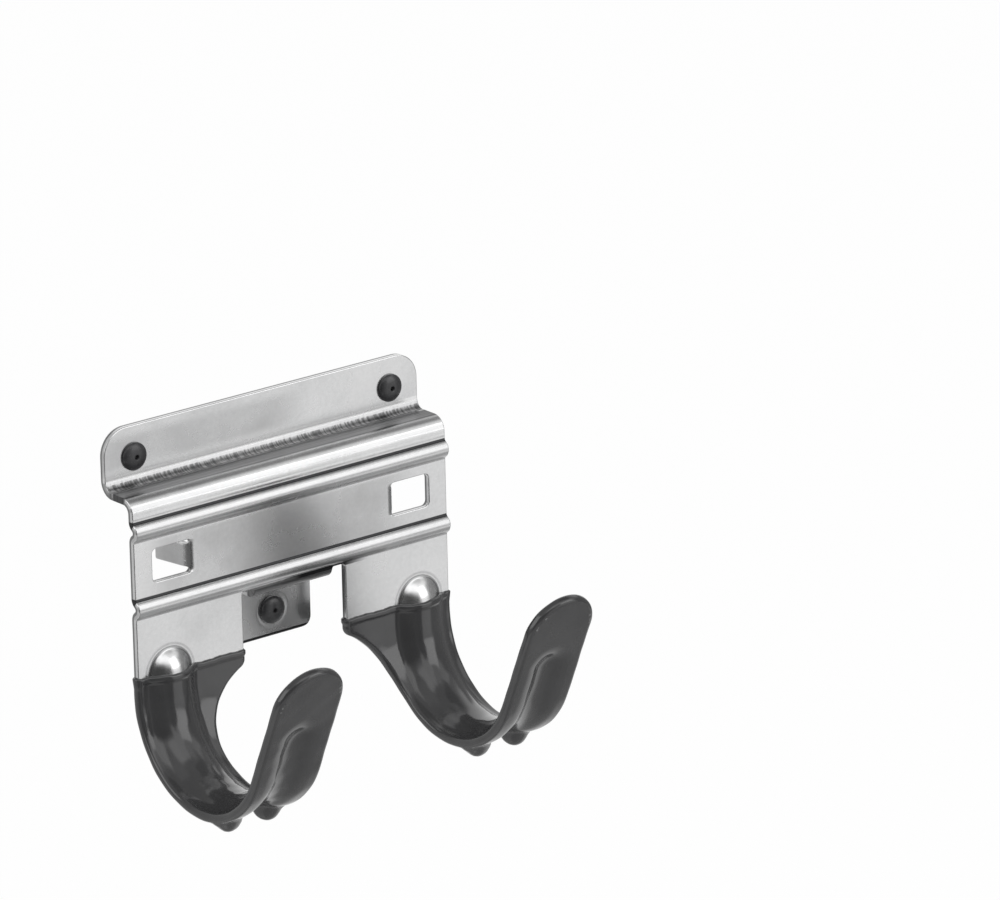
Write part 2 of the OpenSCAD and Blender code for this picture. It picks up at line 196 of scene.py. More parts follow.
def rib(x, s, shape=STEEL_RIB):
    """Height of the rib in the middle of the sheet, and its slopes along x and s."""
    half_w, foot, turn, r, top = shape
    dx = np.abs(x) - HOOK_X
    ds = np.where(s < S_DOME, s - S_DOME, np.where(s > S_RIB_END, s - S_RIB_END, 0.0))
    rho = np.sqrt(dx * dx + ds * ds)
    on_crown = rho < r * math.sin(turn)
    side = np.clip(half_w - rho, 0, foot * math.sin(turn))
    crown_drop = np.sqrt(np.maximum(r ** 2 - rho ** 2, TINY))
    foot_drop = np.sqrt(foot ** 2 - side ** 2)
    h = np.where(on_crown, top - r + crown_drop, foot - foot_drop)
    slope = np.where(on_crown, -rho / crown_drop, -side / foot_drop)
    unit = np.maximum(rho, TINY)
    return h, slope * dx / unit * np.sign(x), slope * ds / unit


def coat_rib(x, s, t):
    """The same for the coating: its own rib in front of the sheet, and the filled groove behind it."""
    front, outer = t > 0, np.abs(x) > HOOK_X
    k = np.clip((s - S_BEND) / (S_LIP - S_BEND), 0, 1)
    made = [rib(x, s, shape) for shape in (COAT_RIB_OUT, COAT_RIB_IN, LEG_GROOVE, LIP_GROOVE)]
    return [np.where(front, np.where(outer, a, b), c + k * (d - c)) for a, b, c, d in zip(*made)]


def bend(region, x, s, t):
    """Folds flat points (x, s, t) of the blank into the finished sheet. t is in front of its middle."""
    if region == "foot":
        u, m = np.abs(x) - HINGE_X, np.sign(x)
        a = np.clip(u, 0, FOOT_ARC) / FOOT_R
        over = u - np.clip(u, 0, FOOT_ARC)
        px = HINGE_X + FOOT_R * np.sin(a) + over * np.cos(a) + t * np.sin(a)
        py = -PLATE_MID + FOOT_R * (1 - np.cos(a)) + over * np.sin(a) - t * np.cos(a)
        pz = -BEAD_DROPS[0] - BEAD_W / 2 - (s - S_MID)
        return np.stack([m * px, py, pz], axis=-1)
    if region == "tab":
        y, z, ty, tz = tab_path(s - S_NOTCH)
        return np.stack([x, y + t * tz, z - t * ty], axis=-1)
    y, z, ty, tz = plate_path(s)
    h, hx, hs = coat_rib(x, s, t) if region == "coat" else rib(x, s)
    n = 1 / np.sqrt(1 + hx * hx + hs * hs)
    up, along, across = h + t * n, -t * n * hs, -t * n * hx
    return np.stack([x + across, y + up * tz + along * ty, z - up * ty + along * tz], axis=-1)


# Flat outlines
def arc(cx, cs, r, a0, a1, n):
    """Points of an arc about (cx, cs), in n steps from angle a0 to a1."""
    angles = [a0 + (a1 - a0) * i / n for i in range(n + 1)]
    return [(cx + r * math.cos(a), cs + r * math.sin(a)) for a in angles]


def rounded(corners, n=5):
    """A closed loop through corners (x, s, radius)."""
    out = []
    for i, (x, s, r) in enumerate(corners):
        p = Vector((x, s))
        a, b = Vector(corners[i - 1][:2]), Vector(corners[(i + 1) % len(corners)][:2])
        u, v = (a - p).normalized(), (b - p).normalized()
        half = math.acos(max(-1, min(1, u.dot(v)))) / 2
        c = p + (u + v).normalized() * (r / math.sin(half))
        q0, q1 = p + u * (r / math.tan(half)) - c, p + v * (r / math.tan(half)) - c
        a0, a1 = math.atan2(q0.y, q0.x), math.atan2(q1.y, q1.x)
        a1 = a0 + (a1 - a0 + math.pi) % (2 * math.pi) - math.pi
        out += arc(c.x, c.y, r, a0, a1, n)
    return out


def shoulder(grow):
    """The leg's inner edge from the narrow strap up to the wide leg, as (x, s)."""
    strap_in, notch_in = HOOK_X - STRAP_W / 2, NOTCH_W / 2
    end_z = HOOK_Z - (HOOK_R - HALF_T - COAT_T) * math.sin(SHOULDER_TURN)
    rise, run = -COAT_DROP - SHOULDER_START - end_z, strap_in - notch_in
    r = (run * run + rise * rise) / (2 * run)
    reach, off = r + SHOULDER_CORNER_R, notch_in + SHOULDER_CORNER_R - (strap_in - r)
    cz = end_z + math.sqrt(reach * reach - off * off)
    meet = math.atan2(cz - end_z, off)
    big = arc(strap_in - r, end_z, r - grow, 0, meet, 34)
    small = arc(notch_in + SHOULDER_CORNER_R, cz, SHOULDER_CORNER_R + grow, math.pi + meet, math.pi, 8)
    return [(x, s_at(z)) for x, z in big + small[1:]]


def hook_edge(grow):
    """Right side of the outline from (plate's edge, tip) round to the shoulder's top, as (x, s)."""
    return arc(HOOK_X, S_TIP, STRAP_W / 2 + grow, 0, math.pi, 40) + shoulder(grow)


def crossings(at, a, b, margin):
    """Shares of the way from a to b at which the lines are crossed, away from both ends."""
    return [c for c in (at - a) / (b - a) if margin < c < 1 - margin]


def with_stations(loop, s_lines, x_lines, closed=True):
    """The loop with extra points where its sides cross the given lines, none closer than least_gap."""
    out, n, margin, least_gap = [], len(loop), 0.02, 0.12
    for i in range(n if closed else n - 1):
        (x0, s0), (x1, s1) = loop[i], loop[(i + 1) % n]
        shares = [0.0]
        if abs(s1 - s0) > 1e-6:
            shares += crossings(s_lines, s0, s1, margin)
        if abs(x1 - x0) > 1e-6:
            shares += crossings(x_lines, x0, x1, margin)
        length, last = math.hypot(x1 - x0, s1 - s0), -1.0
        for c in sorted(shares):
            if (c - last) * length > least_gap or last < 0:
                out.append((x0 + c * (x1 - x0), s0 + c * (s1 - s0)))
                last = c
    return out if closed else out + [loop[-1]]


def outward(loop, closed=True):
    """Outward normals of a loop that runs with the inside on its left, and the stretch a mitre needs."""
    p = np.array(loop)
    e = np.roll(p, -1, axis=0) - p if closed else np.diff(p, axis=0)
    e /= np.linalg.norm(e, axis=1)[:, None]
    if closed:
        before = np.roll(e, 1, axis=0)
    else:
        before, e = np.vstack([e[:1], e]), np.vstack([e, e[-1:]])
    n0, n1 = np.stack([before[:, 1], -before[:, 0]], 1), np.stack([e[:, 1], -e[:, 0]], 1)
    n = n0 + n1
    n /= np.linalg.norm(n, axis=1)[:, None]
    return n, 1 / np.maximum((n * n0).sum(1), 0.5)


def area(loop):
    """Area of a loop, negative where it runs the other way round."""
    p = np.array(loop)
    q = np.roll(p, -1, axis=0)
    return ((p[:, 0] * q[:, 1] - q[:, 0] * p[:, 1]).sum()) / 2


def inside(pts, loops):
    """Which points lie inside the first loop and outside the others, by counting crossings."""
    hit = np.zeros(len(pts), bool)
    for loop in loops:
        a = np.array(loop)
        b = np.roll(a, -1, axis=0)
        for (x0, s0), (x1, s1) in zip(a, b):
            if s0 == s1:
                continue
            cross = (pts[:, 1] < s0) != (pts[:, 1] < s1)
            hit ^= cross & (pts[:, 0] < x0 + (pts[:, 1] - s0) * (x1 - x0) / (s1 - s0))
    return hit


def near(pts, loops, gap):
    """Which points lie closer than gap to a loop's points."""
    loop_pts, batch = np.vstack([np.array(loop) for loop in loops]), 2000
    out = np.zeros(len(pts), bool)
    for i in range(0, len(pts), batch):
        squared = ((pts[i:i + batch, None] - loop_pts[None]) ** 2).sum(2).min(1)
        out[i:i + batch] = squared < gap * gap
    return out


def triangulate(loops, grid):
    """Triangles inside the loops. Returns points, triangles and the numbers of each loop's points."""
    pts, edges = [], []
    for loop in loops:
        base = len(pts)
        pts += [Vector(p) for p in loop]
        edges += [(base + i, base + (i + 1) % len(loop)) for i in range(len(loop))]
    pts += [Vector(p) for p in grid]
    v, _, f, orig, _, _ = delaunay_2d_cdt(pts, edges, [], 0, 1e-7)
    back = {}
    for new, olds in enumerate(orig):
        for o in olds:
            back[o] = new
    v = np.array([tuple(p) for p in v])
    f = np.array([t for t in f if len(t) == 3])
    f = f[inside(v[f].mean(1), loops)]
    rib_rings_and_foot_shade, base = [], 0
    for loop in loops:
        rib_rings_and_foot_shade.append([back[base + i] for i in range(len(loop))])
        base += len(loop)
    return v, f, rib_rings_and_foot_shade


def two_sides(v, f, half):
    """Points, normals and faces of a flat front and back."""
    count = len(v)
    points = [np.column_stack([v, np.full(count, t)]) for t in (half, -half)]
    normals = [np.tile([0, 0, way], (count, 1)) for way in (1.0, -1.0)]
    front = [tuple(int(i) for i in t) for t in f[:, ::-1]]
    back = [tuple(int(i) + count for i in t) for t in f]
    return points, normals, front + back


def rounded_edge(loop, n, mitre, half, edge_r, steps):
    """Rows of points and normals over a loop's rounded edge, from the front face to the back face."""
    angles = [math.pi / 2 * (1 - j / steps) for j in range(steps + 1)]
    profile = [(math.cos(a), math.sin(a), half - edge_r) for a in angles]
    profile += [(math.cos(a), -math.sin(a), edge_r - half) for a in angles[::-1]]
    p, points, normals = np.array(loop), [], []
    for reach, lean, centre_t in profile[1:-1]:
        flat = p - n * (edge_r * (1 - reach) * mitre)[:, None]
        points.append(np.column_stack([flat, np.full(len(p), centre_t + edge_r * lean)]))
        normals.append(np.column_stack([n * reach, np.full(len(p), lean)]))
    return points, normals


def edge_faces(ring, base, count, rows, closed=True):
    """Faces over a rounded edge between the front and back faces, and the numbers of its rows of points."""
    k = len(ring)
    numbers = [list(ring)] + [[base + j * k + i for i in range(k)] for j in range(rows)]
    numbers.append([r + count for r in ring])
    faces = []
    for a, b in zip(numbers, numbers[1:]):
        faces += [(a[i], b[i], b[(i + 1) % k], a[(i + 1) % k]) for i in range(k if closed else k - 1)]
    return faces, numbers


def sheet_piece(loops, grid, half, edge_r, steps):
    """A flat blank with rounded edges. Returns flat points (x, s, t), their normals and faces."""
    # the outline runs one way round and the holes the other
    loops = [loop if (area(loop) > 0) == (i == 0) else loop[::-1] for i, loop in enumerate(loops)]
    ways = [outward(loop) for loop in loops]
    inset = []
    for loop, (n, mitre) in zip(loops, ways):
        inset.append([tuple(p) for p in np.array(loop) - n * (edge_r * mitre)[:, None]])
    grid = grid[inside(grid, inset)]
    grid = grid[~near(grid, inset, 0.3)]
    v, f, rib_rings_and_foot_shade = triangulate(inset, grid)
    points, normals, faces = two_sides(v, f, half)
    base = 2 * len(v)
    for loop, (n, mitre), ring in zip(loops, ways, rib_rings_and_foot_shade):
        edge_points, edge_normals = rounded_edge(loop, n, mitre, half, edge_r, steps)
        points += edge_points
        normals += edge_normals
        faces += edge_faces(ring, base, len(v), len(edge_points))[0]
        base += len(loop) * len(edge_points)
    return np.vstack(points), np.vstack(normals), faces


def smooth(k):
    """An even start and end for a share from 0 to 1."""
    return k * k * (3 - 2 * k)


def lines(lo, hi, step):
    """Even steps from lo to hi, each about as long as step."""
    n = max(1, round((hi - lo) / step))
    return np.linspace(lo, hi, n + 1)


def mesh_object(name, co, faces, normals=None, flat=None, rim=None):
    """A smooth mesh from points in millimetres, with flat places and rim values as texture coordinates."""
    mesh = bpy.data.meshes.new(name)
    mesh.from_pydata([tuple(c) for c in co * MM], [], faces)
    bm = bmesh.new()
    bm.from_mesh(mesh)
    bmesh.ops.recalc_face_normals(bm, faces=bm.faces)
    bm.to_mesh(mesh)
    bm.free()
    if sum(p.normal.dot(p.center) * p.area for p in mesh.polygons) < 0:
        mesh.flip_normals()
    mesh.polygons.foreach_set("use_smooth", [True] * len(mesh.polygons))
    index = np.zeros(len(mesh.loops), int)
    mesh.loops.foreach_get("vertex_index", index)
    if flat is not None:
        layer = mesh.uv_layers.new(name="sheet")
        uv = (flat + UV_ORIGIN) / UV_SPAN
        layer.data.foreach_set("uv", uv[index].astype(np.float32).ravel())
    if rim is not None:
        layer = mesh.uv_layers.new(name="rim")
        layer.data.foreach_set("uv", rim[index].astype(np.float32).ravel())
    if normals is not None:
        # a corner whose normal leans far from its face takes the face's own
        of_face = np.zeros(len(mesh.polygons) * 3)
        mesh.polygons.foreach_get("normal", of_face)
        of_face = np.repeat(of_face.reshape(-1, 3), [len(p.vertices) for p in mesh.polygons], axis=0)
        corner = normals[index]
        leaning = (corner * of_face).sum(axis=1) < 0.92
        corner[leaning] = of_face[leaning]
        mesh.normals_split_custom_set([tuple(n) for n in corner])
    obj = bpy.data.objects.new(name, mesh)
    bpy.context.scene.collection.objects.link(obj)
    return obj


def solid_normals(fold, p, n):
    """Normals of flat points once they are folded."""
    e = 1e-4
    cols = []
    for axis in range(3):
        d = np.zeros(3)
        d[axis] = e
        cols.append((fold(p + d) - fold(p - d)) / (2 * e))
    jac = np.stack(cols, axis=-1)
    out = np.linalg.solve(np.transpose(jac, (0, 2, 1)), n[..., None])[..., 0]
    return out / np.linalg.norm(out, axis=1)[:, None]


# The bracket
def bracket_outline(s_lines, x_lines, tab_lines):
    """The blank's outline, with points where it crosses the lines."""
    half = (
        arc(PLATE_W / 2 - FLANGE_CORNER_R, FLANGE_CORNER_R, FLANGE_CORNER_R, -math.pi / 2, 0, 14)
        + [(PLATE_W / 2, S_TIP)] + hook_edge(0)[1:]
        + [(NOTCH_W / 2, S_NOTCH + NOTCH_CORNER_R)]
        + arc(NOTCH_W / 2 - NOTCH_CORNER_R, S_NOTCH + NOTCH_CORNER_R, NOTCH_CORNER_R, 0, -math.pi / 2, 5)[1:]
        + arc(TAB_W / 2 + TAB_FOOT_R, S_NOTCH + TAB_FOOT_R, TAB_FOOT_R, -math.pi / 2, -math.pi, 4)
        + arc(TAB_W / 2 - TAB_CORNER_R, S_TAB_END - TAB_CORNER_R, TAB_CORNER_R, 0, math.pi / 2, 8)
    )
    loop = with_stations(half + [(-x, s) for x, s in half[::-1]], s_lines, x_lines)
    out = []
    for (x0, s0), (x1, s1) in zip(loop, loop[1:] + loop[:1]):
        out.append((x0, s0))
        on_tab = max(abs(x0), abs(x1)) < TAB_W / 2 + 0.6 and min(s0, s1) > S_NOTCH
        if on_tab and abs(s1 - s0) > 0.1:
            shares = sorted(crossings(tab_lines, s0, s1, 0.05))
            out += [(x0 + c * (x1 - x0), s0 + c * (s1 - s0)) for c in shares]
    return out


def screw_holes():
    """The two holes in the flange and the one in the lower tab."""
    centres = ((-HOLE_PITCH / 2, FLANGE_RISE), (HOLE_PITCH / 2, FLANGE_RISE), (0, S_TAB_HOLE))
    return [arc(x, s, HOLE_D / 2, 0, 2 * math.pi, 56)[:-1] for x, s in centres]


def windows(foot_lines):
    """The two windows, each cut round the foot that is bent out of it."""
    fold_r, foot_r, outer_x = 0.5, 0.6, HINGE_X + WINDOW_W
    loop = rounded([
        (FOLD_X, WINDOW_TOP, 0.8), (outer_x, WINDOW_TOP, WINDOW_CORNER_R),
        (outer_x, WINDOW_BOTTOM, WINDOW_CORNER_R), (FOLD_X, WINDOW_BOTTOM, 0.8),
        (FOLD_X, FOOT_BOTTOM, fold_r), (FOOT_END, FOOT_BOTTOM, foot_r),
        (FOOT_END, FOOT_TOP, foot_r), (FOLD_X, FOOT_TOP, fold_r),
    ])
    loop = with_stations(loop, lines(WINDOW_TOP, WINDOW_BOTTOM, 1.6), foot_lines)
    return [loop, [(-x, s) for x, s in loop]]


def bracket_grid(s_lines, x_lines, tab_lines, foot_lines):
    """Points inside the blank, closer together where it is drawn into a rib, a bend or a dimple."""
    parts = []

    def add(xs, ss):
        """A point wherever one of xs meets one of ss."""
        parts.append(np.array([(x, s) for s in ss for x in xs]))

    add(x_lines, s_lines[s_lines < S_NOTCH])
    above_dome = S_DOME - 8.2
    leg_s = s_lines[(s_lines > S_NOTCH) & (s_lines < above_dome - 0.3)]
    hook_s = np.concatenate([lines(above_dome, S_DOME, 0.6), plate_path.stations(1.0, 0.045)])
    hook_s = np.unique(np.round(hook_s[hook_s >= above_dome - 0.1], 3))
    hook_x = np.concatenate([HOOK_X + lines(-7.6, 7.6, 0.62), [PLATE_W / 2 - 1.2], lines(18, 31.5, 2.2)])
    slot = lines(0, LANCE_GAP, 0.28)
    for side in (-1, 1):
        add(side * lines(NOTCH_W / 2, PLATE_W / 2, 2.4), leg_s)
        add(side * hook_x, hook_s)
        add(side * foot_lines, lines(FOOT_TOP, FOOT_BOTTOM, 1.5))
        add(side * lines(HINGE_X - 0.6, FOLD_X, 0.3), np.concatenate([FOOT_TOP - slot, FOOT_BOTTOM + slot]))
    add(lines(-TAB_W / 2, TAB_W / 2, 2.1), tab_lines)
    add(lines(-TAB_W / 2, TAB_W / 2, 0.9), S_TAB_END - np.array([0.32, 0.5, 0.7, 0.9, 1.1, 1.4]))
    around = np.linspace(0, 2 * math.pi, 45)[:-1]
    for r in np.arange(HOLE_D / 2 + 0.5, DIMPLE_R + 0.5, 0.28):
        parts.append(np.array([(r * math.cos(a), S_TAB_HOLE + r * math.sin(a)) for a in around]))
    grid = np.vstack(parts)
    # of points that fall together one is kept
    return grid[np.unique(np.round(grid, 2), axis=0, return_index=True)[1]]


def make_bracket():
    """The whole sheet: cut out flat, then folded into the plate, the feet and the tab."""
    s_lines, tab_lines = plate_path.stations(2.4, 0.14), S_NOTCH + tab_path.stations(2.0, 0.16)
    x_lines = lines(-PLATE_W / 2, PLATE_W / 2, 2.5)
    foot_lines = np.concatenate([lines(0, FOOT_ARC, 0.34), lines(FOOT_ARC, FOOT_END - HINGE_X, 1.8)[1:]])
    foot_lines = HINGE_X + foot_lines
    loops = [bracket_outline(s_lines, x_lines, tab_lines)] + screw_holes() + windows(foot_lines)
    grid = bracket_grid(s_lines, x_lines, tab_lines, foot_lines)
    p, n, faces = sheet_piece(loops, grid, HALF_T, SHEET_EDGE_R, 3)
    beside = (np.abs(p[:, 0]) > HINGE_X) & (np.abs(p[:, 0]) < FOOT_END + 0.2)
    foot = beside & (p[:, 1] > FOOT_TOP - LANCE_GAP) & (p[:, 1] < FOOT_BOTTOM + LANCE_GAP)
    tab = (np.abs(p[:, 0]) < TAB_W / 2 + 0.5) & (p[:, 1] > S_NOTCH)

    def fold(q):
        """Places of the blank's points in the finished bracket."""
        q = q.copy()
        dimple = smooth(np.clip((DIMPLE_R - np.hypot(q[:, 0], q[:, 1] - S_TAB_HOLE)) / DIMPLE_EASE, 0, 1))
        over = np.clip(q[:, 1] - (S_TAB_END - ROLL_R), 0, ROLL_R * 0.98)
        roll = (ROLL_R - np.sqrt(ROLL_R ** 2 - over ** 2)) * (q[:, 2] / HALF_T + 1) / 2
        # the steel is thinner where the coating hides it
        q[:, 2] *= 1 - 0.25 * np.clip((q[:, 1] - S_DOME - 2) / 2, 0, 1) * ~tab
        q[:, 2] -= tab * (DIMPLE_H * dimple + roll)
        out = bend("plate", q[:, 0], q[:, 1], q[:, 2])
        # the sheet is drawn from the flat plate into the foot at the window's corners
        x, s = np.abs(q[foot, 0]), q[foot, 1]
        drawn = smooth(np.clip(1 - np.maximum(FOOT_TOP - s, s - FOOT_BOTTOM) / LANCE_GAP, 0, 1))
        drawn *= x < FOLD_X + 0.9
        drawn = np.where((s > FOOT_TOP - 0.05) & (s < FOOT_BOTTOM + 0.05), 1.0, drawn)[:, None]
        out[foot] += drawn * (bend("foot", q[foot, 0], q[foot, 1], q[foot, 2]) - out[foot])
        out[tab] = bend("tab", q[tab, 0], q[tab, 1], q[tab, 2])
        return out

    rim = np.column_stack([p[:, 2] / SHEET_T + 0.5, np.abs(n[:, 2]) < 0.999])
    return mesh_object("bracket_sheet", fold(p), faces, solid_normals(fold, p, n), p[:, :2], rim)


# The dipped coatings
def coat_blank():
    """The coating of the right hook, flat: points, normals, faces and the points round its open top."""
    s_lines = plate_path.stations(0.75, 0.03)
    top_s = S_DOME + np.array([0.0, 0.25, 0.5, 0.75, 1.0, 1.25, 1.5, 1.9])
    s_lines = np.concatenate([top_s, s_lines[s_lines > S_DOME + 2.3]])
    outer_x, inner_x = PLATE_W / 2 + COAT_T, NOTCH_W / 2 - COAT_T
    rim = [(outer_x, S_DOME), (outer_x, S_TIP)] + hook_edge(COAT_T)[1:] + [(inner_x, S_DOME)]
    rim = with_stations(rim, s_lines, np.array([]), closed=False)
    rim = [rim[0]] + [p for p in rim[1:-1] if p[1] > S_DOME + 0.1] + [rim[-1]]
    n, mitre = outward(rim, closed=False)
    n[0], n[-1], mitre[0], mitre[-1] = (1, 0), (-1, 0), 1, 1
    inset = np.array(rim) - n * (COAT_EDGE_R * mitre)[:, None]
    top_x = lines(inset[-1, 0], inset[0, 0], 0.55)
    loop = [tuple(q) for q in inset] + [(x, S_DOME) for x in top_x[1:-1]]
    xs = np.concatenate([HOOK_X + lines(-8.7, 8.7, 0.55), lines(15, 30.6, 0.85)])
    grid = np.array([(x, s) for s in s_lines[1:] for x in xs])
    grid = grid[inside(grid, [loop])]
    grid = grid[~near(grid, [loop], 0.26)]
    v, f, (ring,) = triangulate([loop], grid)
    count, k = len(v), len(rim)
    points, normals, faces = two_sides(v, f, COAT_HALF_T)
    edge_points, edge_normals = rounded_edge(rim, n, mitre, COAT_HALF_T, COAT_EDGE_R, 6)
    more, rows = edge_faces(ring[:k], 2 * count, count, len(edge_points), closed=False)
    top = [ring[k - 1]] + ring[k:] + [ring[0]]
    around = top + [row[0] for row in rows[1:-1]]
    around += [r + count for r in top[::-1]] + [row[-1] for row in rows[1:-1][::-1]]
    return np.vstack(points + edge_points), np.vstack(normals + edge_normals), faces + more, around


def coat_swell(p, n, seed):
    """How far the dip stands out: a thick band at the top, faint unevenness and two drips below."""
    x, s, below = p[:, 0], p[:, 1], p[:, 1] - S_DOME
    band = COAT_BAND_T * smooth(np.clip(1 - (below - 0.7) / 0.75, 0, 1))
    uneven = 0.035 * np.sin(s * 0.35 + seed) * np.sin(x * 0.45 + seed)
    uneven += 0.02 * np.sin(s * 0.9 + x * 0.7 + seed)
    swell = band + uneven * np.clip((below - 1.5) / 6, 0, 1)
    off_s = (s - S_BEND - HOOK_R * PIP_TURN) * HOOK_R / (HOOK_R + COAT_HALF_T) * 1.05
    for side in (-1, 1):
        u = np.clip(np.hypot(x - HOOK_X - side * PIP_X, off_s) / DRIP_R, 0, 1)
        swell += np.where(n[:, 2] < 0.2, DRIP_H * (1 - u * u) ** 1.5, 0)
    return swell


def wave(x, seed):
    """The uneven line of the dip's upper edge."""
    slow, fast = 0.10 * np.sin(x * 0.62 + seed), 0.06 * np.sin(x * 1.7 + 2 * seed)
    return slow + fast + 0.03 * np.sin(x * 3.9 + seed * 5)


def make_coating(name, side):
    """The coating of the hook on one side, -1 for the left and 1 for the right."""
    p, n, faces, around = coat_blank()
    seed = 1.3 if side > 0 else 4.1
    q = p + n * coat_swell(p, n, seed)[:, None]
    q[:, 1] += wave(p[:, 0] * side + p[:, 2] * 3, seed) * np.clip(1 - (p[:, 1] - S_DOME) / 2.5, 0, 1)
    # the top closes over in a rounded lap
    lap_steps, lap_rise, k = 5, 0.5, len(around)
    depth = COAT_T + COAT_BAND_T + 0.12
    rows, laps = [around], []
    for j in range(1, lap_steps + 1):
        a = math.pi / 2 * j / lap_steps
        lap = q[around] - n[around] * (depth * (1 - math.cos(a)))
        lap[:, 1] -= lap_rise * math.sin(a)
        laps.append(lap)
        rows.append([len(q) + (j - 1) * k + i for i in range(k)])
    for a, b in zip(rows, rows[1:]):
        faces += [(a[i], a[(i + 1) % k], b[(i + 1) % k], b[i]) for i in range(k)]
    faces.append(tuple(rows[-1]))
    q = np.vstack([q] + laps)
    co = bend("coat", q[:, 0], q[:, 1], q[:, 2]) * [side, 1, 1]
    return mesh_object(name, co, faces, flat=q[:, :2] * [side, 1])


# The bushes
def make_bush(name, place, spin):
    """A domed head with a small screw hole, over a shank in the sheet's hole, turned about its axis."""
    shank_r, head_r, back, under = HOLE_D / 2 - 0.01, BUSH_HEAD_D / 2, 0.12, SHEET_T - 0.22
    dome_turn, dome_steps, rim_h, facets = math.radians(78), 18, 0.35, 72
    top = SHEET_T + BUSH_HEAD_H
    profile = [(PINHOLE_R, back), (shank_r - 0.3, back), (shank_r, 0.4), (shank_r, under)]
    profile += [(head_r - 0.2, under), (head_r, SHEET_T - 0.1)]
    for i in range(1, dome_steps + 1):
        a = dome_turn * i / dome_steps
        rise = (BUSH_HEAD_H - rim_h) * math.sin(a) / math.sin(dome_turn)
        profile.append((head_r * math.cos(a), SHEET_T + rim_h + rise))
    profile += [(PINHOLE_R + 0.18, top - 0.05), (PINHOLE_R + 0.08, top - 0.16), (PINHOLE_R, top - 0.4)]
    (x, y, z), co, faces = place, [], []
    for r, d in profile:
        for i in range(facets):
            a = 2 * math.pi * i / facets + spin
            co.append((x + r * math.cos(a), y - d, z + r * math.sin(a)))
    for j in range(len(profile)):
        row, after = j * facets, (j + 1) % len(profile) * facets
        for i in range(facets):
            k = (i + 1) % facets
            faces.append((row + i, row + k, after + k, after + i))
    return mesh_object(name, np.array(co), faces)


# Node trees
class Nodes:
    """Adds nodes to a material's or the world's node tree and joins them up."""

    def __init__(self, owner):
        owner.use_nodes = True
        self.nodes, self.links = owner.node_tree.nodes, owner.node_tree.links

    def put(self, node, values):
        """Joins or sets a node's inputs by name, and its settings."""
        for key, value in values.items():
            if key not in node.inputs:
                setattr(node, key, value)
            elif hasattr(value, "is_output"):
                self.links.new(value, node.inputs[key])
            else:
                node.inputs[key].default_value = value
        return node

    def add(self, kind, **values):
        return self.put(self.nodes.new(kind), values)

    def math(self, op, a, b=0.0, c=0.0, clamp=False):
        """One step of arithmetic on numbers or on other nodes' outputs."""
        node = self.add("ShaderNodeMath", operation=op, use_clamp=clamp)
        for i, v in enumerate((a, b, c)):
            if hasattr(v, "is_output"):
                self.links.new(v, node.inputs[i])
            else:
                node.inputs[i].default_value = v
        return node.outputs[0]

    def times(self, a, *others):
        for b in others:
            a = self.math("MULTIPLY", a, b)
        return a

    def largest(self, a, *others):
        for b in others:
            a = self.math("MAXIMUM", a, b)
        return a

    def scaled(self, value, factor, offset, clamp=False):
        """The value times the factor, plus the offset."""
        return self.math("MULTIPLY_ADD", value, factor, offset, clamp)

    def ease(self, value, a, b, start=0.0, end=1.0):
        """A smooth step from start to end while the value goes from a to b."""
        node = self.add("ShaderNodeMapRange", interpolation_type="SMOOTHSTEP")
        self.put(node, {"Value": value, "From Min": a, "From Max": b, "To Min": start, "To Max": end})
        return node.outputs["Result"]

    def window(self, value, lo, hi, soft):
        """1 between lo and hi, fading to 0 over soft on either side."""
        return self.times(self.ease(value, lo - soft, lo), self.ease(value, hi, hi + soft, 1.0, 0.0))

    def noise(self, vector, scale, detail=3.0, rough=0.5, distortion=0.0):
        return self.add("ShaderNodeTexNoise", Vector=vector, Scale=scale, Detail=detail, Roughness=rough,
                        Distortion=distortion).outputs["Fac"]

    def stretched(self, vector, along_x, along_s, turn=0.0):
        """Sheet coordinates scaled across and along the sheet, and turned."""
        return self.add("ShaderNodeMapping", Vector=vector, Scale=(along_x, along_s, 1.0),
                        Rotation=(0, 0, turn)).outputs["Vector"]

    def ramp(self, value, *stops):
        """Colours from (position, colour) stops."""
        node = self.add("ShaderNodeValToRGB", Fac=value)
        elements = node.color_ramp.elements
        elements[0].position, elements[0].color = stops[0][0], (*stops[0][1], 1)
        elements[1].position, elements[1].color = stops[-1][0], (*stops[-1][1], 1)
        for position, colour in stops[1:-1]:
            elements.new(position).color = (*colour, 1)
        return node.outputs["Color"]

    def mix(self, a, b, factor, blend="MIX"):
        """Colour a turned into colour b, or multiplied by it."""
        values = {"data_type": "RGBA", "blend_type": blend, "Factor": factor, "A": a, "B": b}
        return self.put(self.nodes.new("ShaderNodeMix"), values).outputs["Result"]

    def bump(self, height, strength, distance, **normal):
        values = dict(Height=height, Strength=strength, Distance=distance, **normal)
        return self.add("ShaderNodeBump", **values).outputs["Normal"]

    def mix_shader(self, factor, a, b):
        """Shader a where the factor is 0 and b where it is 1."""
        node = self.add("ShaderNodeMixShader", Fac=factor)
        self.links.new(a, node.inputs[1])
        self.links.new(b, node.inputs[2])
        return node.outputs[0]


def grey(level):
    """A neutral colour."""
    return (level, level, level)


